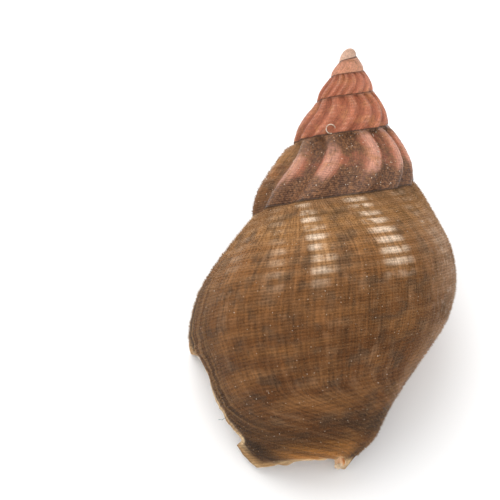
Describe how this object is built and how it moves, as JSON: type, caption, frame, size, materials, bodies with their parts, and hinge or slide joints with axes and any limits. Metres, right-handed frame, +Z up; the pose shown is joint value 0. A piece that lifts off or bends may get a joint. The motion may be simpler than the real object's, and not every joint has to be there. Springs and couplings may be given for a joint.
{
  "type": "whelk shell",
  "caption": "Empty spiral sea snail shell with a pointed ribbed spire, a swollen last whorl, a wide mouth and a short notched canal.",
  "frame": {"origin": "centre of the bounding box at the bottom, on the surface that the shell rests on", "axes": "+Z up, through the back of the shell; the axis of the spiral lies in the YZ plane and its apex points to +Y and up; -X is the side of the outer lip"},
  "size_m": [0.0494, 0.0726, 0.0378],
  "materials": {
    "shell": "matte"
  },
  "bodies": {
    "root": {"shell": "shell"}
  },
  "joints": []
}
